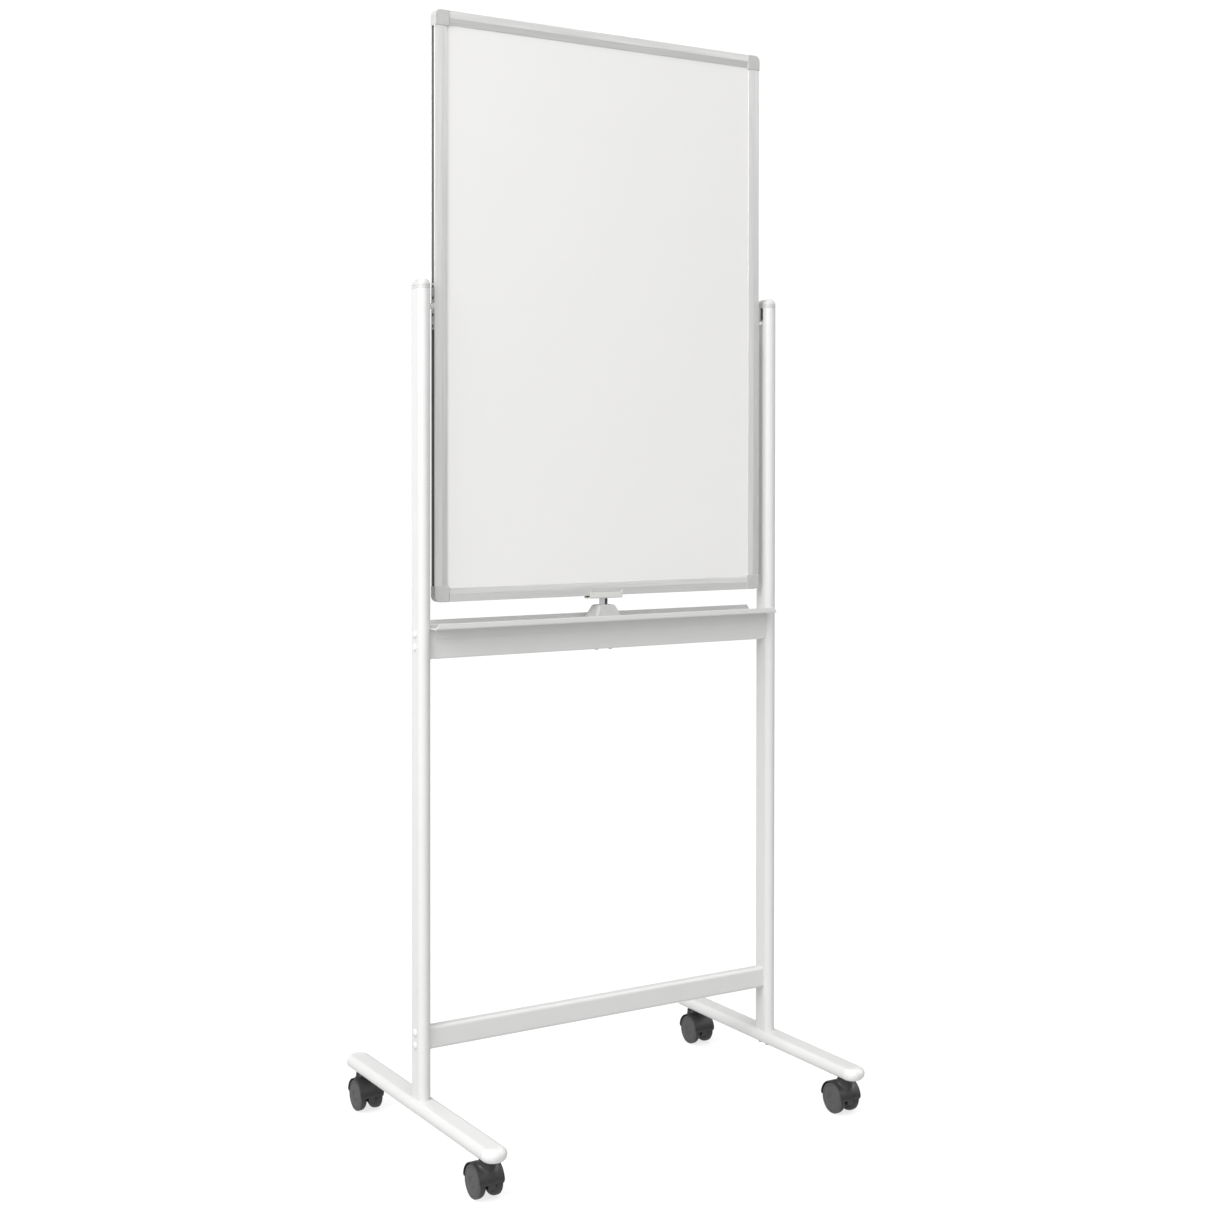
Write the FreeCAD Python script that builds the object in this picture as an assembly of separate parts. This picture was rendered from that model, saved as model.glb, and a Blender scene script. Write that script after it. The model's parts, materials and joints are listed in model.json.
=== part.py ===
import FreeCAD, Part
import os
from math import cos, pi, sin, sqrt

# Rolling double-sided whiteboard: a framed board that flips end over end between two
# uprights, on an H-shaped stand with four swivelling twin-wheel casters.
# Millimetres. Origin on the floor under the middle of the stand, +X to the right as seen
# from the front, +Y to the back, +Z up. "Left" is -X and "front" is -Y throughout.

V = FreeCAD.Vector
X_AXIS, Y_AXIS, Z_AXIS = V(1, 0, 0), V(0, 1, 0), V(0, 0, 1)
LEFT_RIGHT = (("left", -1), ("right", 1))
FRONT_BACK = (("front", -1), ("back", 1))

# ---- driving dimensions -------------------------------------------------------------
# board
BOARD_W = 610.0            # outside the frame
BOARD_H = 914.0
BOARD_MID_Z = 1302.0       # height of the flip axis, at mid-height of the board
CORE_T = 8.0               # honeycomb core
SHEET_T = 0.4              # enamelled steel writing sheet on each side
FRAME_FACE = 22.0          # width of the frame as seen from the front
FRAME_RIDGE = 12.0         # the roof-shaped face peaks this far in from the outer edge
FRAME_RIDGE_T = 16.0       # thickness at the ridge, at the outer edge and at the inner lip
FRAME_EDGE_T = 13.0
FRAME_LIP_T = 12.0
FRAME_WEB = 1.2
PANEL_INSET = 8.3          # panel edge, in from the outside of the frame
PANEL_GAP = 0.1
SIDE_GROOVE_W = 9.2        # groove round the outside of the frame
SIDE_GROOVE_D = 3.0
CORNER_SIZE = 25.0
CORNER_R = 9.0
CORNER_T = 16.8
KEY_ARM = 60.0             # corner bracket arm, measured from the outer corner
KEY_T = 2.4
KEY_W = 8.4

# stand tubes: one flat-oval section serves the uprights and the feet
TUBE_LONG = 40.0
TUBE_SHORT = 20.0
TUBE_WALL = 1.5
UPRIGHT_X = 325.0
UPRIGHT_TOP = 1328.0
UPRIGHT_CAP_H = 15.0
FOOT_BOTTOM = 61.0
FOOT_LEN = 530.0
LOWER_BAR_D, LOWER_BAR_H, LOWER_BAR_Z, LOWER_BAR_R = 20.0, 35.5, 173.0, 5.5
TRAY_BAR_D, TRAY_BAR_H, TRAY_BAR_Z, TRAY_BAR_R = 25.0, 47.0, 782.0, 3.0
BAR_PLUG_LEN = 25.0
BAR_SCREW_R = 2.5
BAR_SCREW_PITCH = 20.0
LOWER_SCREW_Z, TRAY_SCREW_Z = 173.0, 787.0
BASE_BOLT_R = 3.0
BASE_BOLT_PITCH = 20.0

# pen tray
TRAY_W = 84.0
TRAY_T = 1.5
TRAY_H = 9.0
TRAY_SKIRT = 17.5          # skirt hanging over each face of the bar
TRAY_END_GAP = 0.5         # between the skirts and the uprights
TRAY_OVERHANG = 4.0        # the tray's corners reach this far past the uprights' inner faces

# flip axis
PIN_R = 4.0
PIN_RUN = 0.05
SLOT_GAP = 0.3
PIN_COLLAR_R, PIN_COLLAR_T = 6.0, 2.2
PIVOT_PLATE_H = 72.0
PIVOT_SCREW_Z = (-30.5, -13.0, 13.0, 30.5)

# board lock
CATCH_LEN = 61.0
CATCH_IN = 16.4            # between the flanges
CATCH_WALL = 1.8
CATCH_FLOOR = 840.5        # underside of the channel
CATCH_TOP = 853.5
BOSS_TOP_Z = 829.5
BOSS_TOP = (30.0, 26.0)
BOSS_FOOT = (54.0, 42.0)
BOSS_CEILING = 3.5
STEM_R = 7.0
STEM_RUN = 0.08
TAIL_R = 3.0

# casters
WHEEL_R = 25.0
WHEEL_IN, WHEEL_OUT = 6.4, 19.9     # inner and outer face, out from the caster's middle
HOOD_HALF_W = 20.5
HOOD_IN_R, HOOD_OUT_R = 26.0, 27.6
CASTER_WEB = 5.8           # half-width of the web between the wheels
CASTER_WEB_DROP = 8.0      # the web reaches this far below the axle
CASTER_Y = 225.0           # swivel axis
CASTER_TRAIL = 10.0
HOOD_TOP = 58.4
HOOD_BOSS_R = 12.0         # swivel boss
HOOD_NECK_R = 15.5         # the boss flares to this where it meets the fender
STEM_PIN_R = 4.0
AXLE_R = 3.0

# ---- derived ------------------------------------------------------------------------
HALF_W, HALF_H = BOARD_W / 2, BOARD_H / 2
INNER_FACE_X = UPRIGHT_X - TUBE_SHORT / 2
OUTER_FACE_X = UPRIGHT_X + TUBE_SHORT / 2
FOOT_TOP = FOOT_BOTTOM + TUBE_SHORT
FOOT_MID = FOOT_BOTTOM + TUBE_SHORT / 2
FOOT_TUBE_Y = FOOT_LEN / 2 - TUBE_LONG / 2
TRAY_BAR_TOP = TRAY_BAR_Z + TRAY_BAR_H / 2
TRAY_FLOOR = TRAY_BAR_TOP + TRAY_T
SKIRT_X = INNER_FACE_X - TRAY_END_GAP
TRAY_X = SKIRT_X + TRAY_OVERHANG
BARS = ((LOWER_BAR_D, LOWER_BAR_H, LOWER_BAR_Z, LOWER_BAR_R, LOWER_SCREW_Z),
        (TRAY_BAR_D, TRAY_BAR_H, TRAY_BAR_Z, TRAY_BAR_R, TRAY_SCREW_Z))
PANEL_T = CORE_T + 2 * SHEET_T
KEY_INSET = SIDE_GROOVE_D + FRAME_WEB + 0.1

parts = {}


# ---- helpers ------------------------------------------------------------------------
def box(low, high):
    """A box between two corners."""
    return Part.makeBox(high[0] - low[0], high[1] - low[1], high[2] - low[2], V(*low))


def rod(radius, start, end):
    """A round bar between two points."""
    start, end = V(*start), V(*end)
    return Part.makeCylinder(radius, (end - start).Length, start, end - start)


def x_rod(radius, x0, x1, y, z):
    return rod(radius, (x0, y, z), (x1, y, z))


def z_rod(radius, x, y, z0, z1):
    return rod(radius, (x, y, z0), (x, y, z1))


def prism(points, direction):
    """A straight prism on a polygon."""
    corners = [V(*p) for p in points]
    return Part.Face(Part.makePolygon(corners + corners[:1])).extrude(V(*direction))


def hexagon(across_flats, x, y, z0, height):
    """A hexagonal prism standing on z0."""
    corner = across_flats / sqrt(3)
    half = across_flats / 2
    outline = [(corner, 0), (corner / 2, half), (-corner / 2, half),
               (-corner, 0), (-corner / 2, -half), (corner / 2, -half)]
    return prism([(x + a, y + b, z0) for a, b in outline], (0, 0, height))


def flat_oval(long_side, short_side):
    """Flat-oval face in the XY plane, long side along Y."""
    r = short_side / 2
    c = (long_side - short_side) / 2
    return Part.Face(Part.Wire([
        Part.makeLine(V(r, -c, 0), V(r, c, 0)),
        Part.Arc(V(r, c, 0), V(0, c + r, 0), V(-r, c, 0)).toShape(),
        Part.makeLine(V(-r, c, 0), V(-r, -c, 0)),
        Part.Arc(V(-r, -c, 0), V(0, -c - r, 0), V(r, -c, 0)).toShape()]))


def upright_section(inset, x, z0, z1):
    """Solid of the upright's section, drawn in by inset."""
    face = flat_oval(TUBE_LONG - 2 * inset, TUBE_SHORT - 2 * inset)
    face.translate(V(x, 0, z0))
    return face.extrude(V(0, 0, z1 - z0))


def foot_section(inset, x, y0, y1):
    """Solid of the foot's section, lying flat along Y, drawn in by inset."""
    solid = flat_oval(TUBE_LONG - 2 * inset, TUBE_SHORT - 2 * inset).extrude(V(0, 0, y1 - y0))
    solid.rotate(V(0, 0, 0), V(1, 1, 1), 240)      # local X, Y, Z become Z, X, Y
    solid.translate(V(x, y0, FOOT_MID))
    return solid


def rounded_box(low, high, radius, along):
    """A box with the four edges along one axis rounded."""
    solid = box(low, high)
    edges = [e for e in solid.Edges
             if abs(abs((e.Vertexes[1].Point - e.Vertexes[0].Point).normalize().dot(along)) - 1) < 1e-6]
    return solid.makeFillet(radius, edges)


def bar_section(bar, inset, x0, x1):
    """Solid of a crossbar's rounded rectangular section, drawn in by inset."""
    depth, height, z, radius, _ = bar
    return rounded_box((x0, inset - depth / 2, z - height / 2 + inset),
                       (x1, depth / 2 - inset, z + height / 2 - inset),
                       radius - inset, X_AXIS)


def revolve(points, axis, angle=360):
    """A solid of revolution about an axis through the origin."""
    corners = [V(*p) for p in points]
    return Part.Face(Part.makePolygon(corners + corners[:1])).revolve(V(0, 0, 0), axis, angle)


def fillet_at(solid, radius, keep):
    """Round every edge whose middle passes the test."""
    return solid.makeFillet(radius, [e for e in solid.Edges if keep(e.CenterOfMass)])


# ---- board --------------------------------------------------------------------------
def rail(corner, inward, along, length):
    """One extruded frame rail. corner is the start of its outer edge."""
    edge, ridge, lip = FRAME_EDGE_T / 2, FRAME_RIDGE_T / 2, FRAME_LIP_T / 2
    groove, panel = SIDE_GROOVE_W / 2, PANEL_T / 2 + PANEL_GAP
    web = SIDE_GROOVE_D + 2 * FRAME_WEB + KEY_T + 0.2
    half = [(SIDE_GROOVE_D, groove), (0, groove), (0, edge), (FRAME_RIDGE, ridge),
            (FRAME_FACE, lip), (FRAME_FACE, panel), (web, panel)]
    outline = half + [(u, -v) for u, v in reversed(half)]
    u0, u1, v1 = SIDE_GROOVE_D + FRAME_WEB, web - FRAME_WEB, KEY_W / 2 + 0.1
    hollow = [(u0, -v1), (u1, -v1), (u1, v1), (u0, v1)]

    def solid(points):
        place = [V(*corner) + V(*inward) * u + Y_AXIS * v for u, v in points]
        return prism([tuple(p) for p in place], tuple(V(*along) * length))
    return solid(outline).cut(solid(hollow))


def frame_rails():
    run_x, run_z = BOARD_W - 2 * CORNER_SIZE, BOARD_H - 2 * CORNER_SIZE
    left, low = CORNER_SIZE - HALF_W, BOARD_MID_Z - HALF_H + CORNER_SIZE
    parts["top_frame_rail"] = rail((left, 0, BOARD_MID_Z + HALF_H), (0, 0, -1), (1, 0, 0), run_x)
    parts["bottom_frame_rail"] = rail((left, 0, BOARD_MID_Z - HALF_H), (0, 0, 1), (1, 0, 0), run_x)
    for side, s in LEFT_RIGHT:
        upright_rail = rail((s * HALF_W, 0, low), (-s, 0, 0), (0, 0, 1), run_z)
        for dz in PIVOT_SCREW_Z:
            upright_rail = upright_rail.cut(pivot_screw(s, dz, 0.1))
        parts[side + "_frame_rail"] = upright_rail


def panel():
    half_x, half_z = HALF_W - PANEL_INSET, HALF_H - PANEL_INSET
    low, high = BOARD_MID_Z - half_z, BOARD_MID_Z + half_z
    core, skin = CORE_T / 2, PANEL_T / 2
    parts["board_core"] = box((-half_x, -core, low), (half_x, core, high))
    parts["front_writing_sheet"] = box((-half_x, -skin, low), (half_x, -core, high))
    parts["back_writing_sheet"] = box((-half_x, core, low), (half_x, skin, high))


def corner_key(sx, sz, gap):
    """L-shaped bracket that joins two rails inside a corner cap."""
    def arm(x_len, z_len):
        x0, x1 = sx * (HALF_W - KEY_INSET + gap), sx * (HALF_W - x_len)
        z0, z1 = sz * (HALF_H - KEY_INSET + gap), sz * (HALF_H - z_len)
        w = KEY_W / 2 + gap
        return box((min(x0, x1), -w, BOARD_MID_Z + min(z0, z1)),
                   (max(x0, x1), w, BOARD_MID_Z + max(z0, z1)))
    thick = KEY_INSET + KEY_T + gap
    return arm(KEY_ARM, thick).fuse(arm(thick, KEY_ARM)).removeSplitter()


def corner_cap(sx, sz):
    """Moulded corner: a rounded block that takes the panel's corner and the bracket."""
    x0, x1 = sx * HALF_W, sx * (HALF_W - CORNER_SIZE)
    z0, z1 = BOARD_MID_Z + sz * HALF_H, BOARD_MID_Z + sz * (HALF_H - CORNER_SIZE)
    half = CORNER_T / 2
    cap = box((min(x0, x1), -half, min(z0, z1)), (max(x0, x1), half, max(z0, z1)))
    cap = fillet_at(cap, CORNER_R, lambda c: abs(c.x - x0) < 0.1 and abs(c.z - z0) < 0.1)
    cap = fillet_at(cap, 1.2, lambda c: abs(abs(c.y) - half) < 0.01
                    and (abs(c.x - x1) > 0.1 and abs(c.z - z1) > 0.1))
    edge_x, edge_z = HALF_W - PANEL_INSET + PANEL_GAP, HALF_H - PANEL_INSET + PANEL_GAP
    skin = PANEL_T / 2 + PANEL_GAP
    slot = box((-edge_x, -skin, BOARD_MID_Z - edge_z), (edge_x, skin, BOARD_MID_Z + edge_z))
    return cap.cut(slot).cut(corner_key(sx, sz, 0.1))


def corners():
    keys = []
    for level, sz in (("top", 1), ("bottom", -1)):
        for side, sx in LEFT_RIGHT:
            parts["%s_%s_corner_cap" % (level, side)] = corner_cap(sx, sz)
            keys.append(corner_key(sx, sz, 0))
    parts["corner_brackets"] = Part.makeCompound(keys)


# ---- flip axis ----------------------------------------------------------------------
def pivot_screw(s, dz, gap=0.0):
    """Countersunk screw that holds a pivot plate to the side rail."""
    z = BOARD_MID_Z + dz
    head = Part.makeCone(2.8 + gap, 1.5 + gap, 1.5, V(s * (HALF_W - 0.6), 0, z), V(-s, 0, 0))
    shank = x_rod(1.5 + gap, s * (HALF_W - 2.1), s * (HALF_W - 6.5), 0, z)
    return head.fuse(shank)


def pivots():
    screws = []
    for side, s in LEFT_RIGHT:
        x0, x1 = s * HALF_W, s * (HALF_W - SIDE_GROOVE_D)
        half_w = SIDE_GROOVE_W / 2 - 0.1
        plate = box((min(x0, x1), -half_w, BOARD_MID_Z - PIVOT_PLATE_H / 2),
                    (max(x0, x1), half_w, BOARD_MID_Z + PIVOT_PLATE_H / 2))
        plate = fillet_at(plate, 4.0, lambda c: abs(abs(c.y) - half_w) < 0.01
                          and abs(abs(c.z - BOARD_MID_Z) - PIVOT_PLATE_H / 2) < 0.01)
        plate = plate.cut(x_rod(3.05, x0 + s, x1 - s, 0, BOARD_MID_Z))
        for dz in PIVOT_SCREW_Z:
            z = BOARD_MID_Z + dz
            plate = plate.cut(pivot_screw(s, dz, 0.05)).cut(x_rod(2.85, x0 + s, x0 - s * 0.6, 0, z))
            screws.append(pivot_screw(s, dz))
        parts[side + "_pivot_plate"] = plate

        # the pin: riveted into the plate, with a collar that rides inside the tube wall
        collar_x = INNER_FACE_X + TUBE_WALL + 0.6
        parts[side + "_pivot_pin"] = (
            x_rod(3.0, x1, x0, 0, BOARD_MID_Z)
            .fuse(x_rod(PIN_R, x0, s * (UPRIGHT_X + 5), 0, BOARD_MID_Z))
            .fuse(x_rod(PIN_COLLAR_R, s * collar_x, s * (collar_x + PIN_COLLAR_T), 0, BOARD_MID_Z))
            .removeSplitter())

        # the nylon saddle inside the upright that carries the pin
        saddle = upright_section(TUBE_WALL + 0.2, s * UPRIGHT_X, BOARD_MID_Z - 20, BOARD_MID_Z + 3)
        near = s * (collar_x + PIN_COLLAR_T + 0.6)
        inner = s * (INNER_FACE_X - 5)
        saddle = saddle.cut(box((min(inner, near), -30, BOARD_MID_Z - 30),
                                (max(inner, near), 30, BOARD_MID_Z + 30)))
        bore = PIN_R + PIN_RUN
        saddle = saddle.cut(x_rod(bore, s * INNER_FACE_X, s * OUTER_FACE_X, 0, BOARD_MID_Z))
        saddle = saddle.cut(box((min(s * INNER_FACE_X, s * OUTER_FACE_X), -bore, BOARD_MID_Z),
                                (max(s * INNER_FACE_X, s * OUTER_FACE_X), bore, BOARD_MID_Z + 10)))
        parts[side + "_pivot_bush"] = saddle
    parts["pivot_plate_screws"] = Part.makeCompound(screws)


# ---- stand --------------------------------------------------------------------------
def bar_screw_places():
    """Side and height of each screw that ties an upright to a crossbar."""
    return [(s, bar[-1] + dz * BAR_SCREW_PITCH / 2)
            for _, s in LEFT_RIGHT for bar in BARS for dz in (-1, 1)]


def uprights():
    inserts = []
    for side, s in LEFT_RIGHT:
        x = s * UPRIGHT_X
        tube = upright_section(0, x, FOOT_TOP, UPRIGHT_TOP)
        tube = tube.cut(upright_section(TUBE_WALL, x, FOOT_TOP, UPRIGHT_TOP))
        # open slot in the inner wall: the pivot pin drops into it from the top
        slot_r = PIN_R + SLOT_GAP
        x_in, x_mid = s * (INNER_FACE_X - 1), s * UPRIGHT_X
        tube = tube.cut(x_rod(slot_r, x_in, x_mid, 0, BOARD_MID_Z))
        tube = tube.cut(box((min(x_in, x_mid), -slot_r, BOARD_MID_Z),
                            (max(x_in, x_mid), slot_r, UPRIGHT_TOP + 1)))
        for screw_s, z in bar_screw_places():
            if screw_s == s:
                tube = tube.cut(x_rod(BAR_SCREW_R + 0.2, s * (INNER_FACE_X - 1),
                                      s * (OUTER_FACE_X + 1), 0, z))
        parts[side + "_upright_tube"] = tube

        # domed cap with a hollow plug, notched so that the slot stays clear
        dome = upright_section(0, x, UPRIGHT_TOP, UPRIGHT_TOP + UPRIGHT_CAP_H)
        dome = fillet_at(dome, TUBE_SHORT / 2 - 0.6,
                         lambda c: abs(c.z - UPRIGHT_TOP - UPRIGHT_CAP_H) < 0.01)
        plug = upright_section(TUBE_WALL + 0.1, x, UPRIGHT_TOP - 12, UPRIGHT_TOP)
        plug = plug.cut(upright_section(TUBE_WALL + 2.1, x, UPRIGHT_TOP - 12, UPRIGHT_TOP))
        plug = plug.cut(box((min(x_in, x_mid), -7, UPRIGHT_TOP - 13), (max(x_in, x_mid), 7, UPRIGHT_TOP)))
        parts[side + "_upright_cap"] = dome.fuse(plug)

        insert = upright_section(TUBE_WALL + 0.1, x, FOOT_TOP, FOOT_TOP + 35)
        for dy in (-1, 1):
            insert = insert.cut(z_rod(BASE_BOLT_R + 0.05, x, dy * BASE_BOLT_PITCH / 2,
                                      FOOT_TOP - 1, FOOT_TOP + 36))
        inserts.append(insert)
    parts["upright_base_inserts"] = Part.makeCompound(inserts)


def feet():
    bolts, nuts, stems = [], [], []
    for side, s in LEFT_RIGHT:
        x = s * UPRIGHT_X
        tube = foot_section(0, x, -FOOT_TUBE_Y, FOOT_TUBE_Y)
        tube = tube.cut(foot_section(TUBE_WALL, x, -FOOT_TUBE_Y, FOOT_TUBE_Y))
        for dy in (-1, 1):
            y = dy * BASE_BOLT_PITCH / 2
            tube = tube.cut(z_rod(BASE_BOLT_R + 0.2, x, y, FOOT_BOTTOM - 1, FOOT_TOP + 1))
            bolts.append(hexagon(10, x, y, FOOT_BOTTOM - 6.1, 4.5)
                         .fuse(z_rod(7.0, x, y, FOOT_BOTTOM - 1.6, FOOT_BOTTOM))
                         .fuse(z_rod(BASE_BOLT_R, x, y, FOOT_BOTTOM, FOOT_TOP + 28))
                         .removeSplitter())
            y = dy * CASTER_Y
            tube = tube.cut(z_rod(STEM_PIN_R + 0.2, x, y, FOOT_BOTTOM - 1, FOOT_MID))
            nut_z = FOOT_BOTTOM + TUBE_WALL
            nuts.append(hexagon(13, x, y, nut_z, 6.5).cut(z_rod(STEM_PIN_R + 0.05, x, y, nut_z, nut_z + 7)))
            stems.append(z_rod(STEM_PIN_R, x, y, HOOD_TOP - 20, FOOT_BOTTOM + 11)
                         .fuse(z_rod(8.0, x, y, HOOD_TOP + 0.4, FOOT_BOTTOM)).removeSplitter())
        parts[side + "_foot_tube"] = tube

        for end, dy in FRONT_BACK:
            r, c = TUBE_SHORT / 2, (TUBE_LONG - TUBE_SHORT) / 2
            profile = Part.Face(Part.Wire([
                Part.makeLine(V(0, 0, -r), V(c, 0, -r)),
                Part.Arc(V(c, 0, -r), V(c + r, 0, 0), V(c, 0, r)).toShape(),
                Part.makeLine(V(c, 0, r), V(0, 0, r)),
                Part.makeLine(V(0, 0, r), V(0, 0, -r))]))
            nose = profile.revolve(V(0, 0, 0), Z_AXIS, dy * 180)
            nose.translate(V(x, dy * FOOT_TUBE_Y, FOOT_MID))
            y0, y1 = dy * (FOOT_TUBE_Y - 11), dy * FOOT_TUBE_Y
            plug = foot_section(TUBE_WALL + 0.1, x, min(y0, y1), max(y0, y1))
            parts["%s_%s_foot_cap" % (end, side)] = nose.fuse(plug).removeSplitter()
    parts["foot_bolts"] = Part.makeCompound(bolts)
    parts["caster_nuts"] = Part.makeCompound(nuts)
    parts["caster_stems"] = Part.makeCompound(stems)


def crossbars():
    for name, bar in zip(("lower_crossbar", "tray_crossbar"), BARS):
        tube = bar_section(bar, 0, -INNER_FACE_X, INNER_FACE_X)
        tube = tube.cut(bar_section(bar, TUBE_WALL, -INNER_FACE_X, INNER_FACE_X))
        if name == "tray_crossbar":
            tube = tube.cut(z_rod(TAIL_R + 0.4, 0, 0, TRAY_BAR_Z, TRAY_BAR_TOP + 1))
            for screw in boss_screws(0.2) + skirt_screws(0.1):
                tube = tube.cut(screw)
        parts[name] = tube

    plugs, screws, covers = [], [], []
    for s in (-1, 1):
        for bar in BARS:
            x0, x1 = s * (INNER_FACE_X - BAR_PLUG_LEN), s * INNER_FACE_X
            plug = bar_section(bar, TUBE_WALL + 0.1, min(x0, x1), max(x0, x1))
            for dz in (-1, 1):
                plug = plug.cut(x_rod(BAR_SCREW_R + 0.05, x0 - s, x1 + s, 0,
                                      bar[-1] + dz * BAR_SCREW_PITCH / 2))
            plugs.append(plug)
    for s, z in bar_screw_places():
        tip, face = s * (INNER_FACE_X - 22), s * OUTER_FACE_X
        screws.append(x_rod(BAR_SCREW_R, tip, face, 0, z)
                      .fuse(x_rod(4.2, face, face + s * 2.2, 0, z)).removeSplitter())
        cover = x_rod(5.75, face, face + s * 3.2, 0, z)
        cover = fillet_at(cover, 1.4, lambda c: abs(c.x - face - s * 3.2) < 0.01)
        covers.append(cover.cut(x_rod(4.4, face, face + s * 2.4, 0, z)))
    parts["crossbar_end_plugs"] = Part.makeCompound(plugs)
    parts["crossbar_screws"] = Part.makeCompound(screws)
    parts["screw_covers"] = Part.makeCompound(covers)


# ---- pen tray and board lock --------------------------------------------------------
def boss_screws(gap=0.0):
    """Long screws, up through the tray bar and the tray floor into the lock boss."""
    under = TRAY_BAR_Z - TRAY_BAR_H / 2
    return [z_rod(1.8 + gap, x, 0, under, TRAY_FLOOR + 12)
            .fuse(z_rod(3.6, x, 0, under - 2.2, under)) for x in (-13.0, 13.0)]


def skirt_screws(gap=0.0):
    """Short screws through the tray's back skirt into the bar."""
    y, z = TRAY_BAR_D / 2 + TRAY_T + 0.1, TRAY_BAR_TOP - TRAY_SKIRT / 2
    return [rod(1.6 + gap, (x, y - 6, z), (x, y, z)).fuse(rod(3.4, (x, y, z), (x, y + 1.8, z)))
            for x in (-250.0, -90.0, 90.0, 250.0)]


def pen_tray():
    half_w, lip_top = TRAY_W / 2, TRAY_BAR_TOP + TRAY_H
    skirt_y = TRAY_BAR_D / 2 + 0.1
    skirt_z = TRAY_BAR_TOP - TRAY_SKIRT + TRAY_T
    tray = box((-TRAY_X, -half_w, TRAY_BAR_TOP), (TRAY_X, half_w, TRAY_FLOOR))
    for dy in (-1, 1):
        lip = sorted((dy * half_w, dy * (half_w - TRAY_T)))
        skirt = sorted((dy * skirt_y, dy * (skirt_y + TRAY_T)))
        tray = tray.fuse(box((-TRAY_X, lip[0], TRAY_BAR_TOP), (TRAY_X, lip[1], lip_top)))
        tray = tray.fuse(box((-SKIRT_X, skirt[0], skirt_z), (SKIRT_X, skirt[1], TRAY_FLOOR)))
    tray = tray.removeSplitter()
    notch_y = TUBE_LONG / 2 + 0.5
    for s in (-1, 1):
        # lips and skirts are cut back at a slant at each end
        tray = tray.cut(prism([(s * TRAY_X, -60, TRAY_FLOOR), (s * (TRAY_X - 5), -60, lip_top),
                               (s * (TRAY_X - 5), -60, lip_top + 1), (s * (TRAY_X + 1), -60, lip_top + 1),
                               (s * (TRAY_X + 1), -60, TRAY_FLOOR)], (0, 120, 0)))
        tray = tray.cut(prism([(s * (SKIRT_X - 3), -60, TRAY_BAR_TOP), (s * (SKIRT_X - 10), -60, skirt_z),
                               (s * (SKIRT_X - 10), -60, skirt_z - 1), (s * (TRAY_X + 1), -60, skirt_z - 1),
                               (s * (TRAY_X + 1), -60, TRAY_BAR_TOP)], (0, 120, 0)))
        # the floor is notched round the upright
        x0, x1 = sorted((s * SKIRT_X, s * (TRAY_X + 1)))
        tray = tray.cut(box((x0, -notch_y, TRAY_BAR_TOP - 1), (x1, notch_y, TRAY_FLOOR + 1)))
    tray = tray.cut(z_rod(TAIL_R + 0.4, 0, 0, TRAY_BAR_TOP - 1, TRAY_FLOOR + 1))
    for screw in boss_screws(0.2) + skirt_screws(0.1):
        tray = tray.cut(screw)
    parts["pen_tray"] = tray
    parts["tray_and_lock_screws"] = Part.makeCompound(boss_screws() + skirt_screws())


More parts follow.
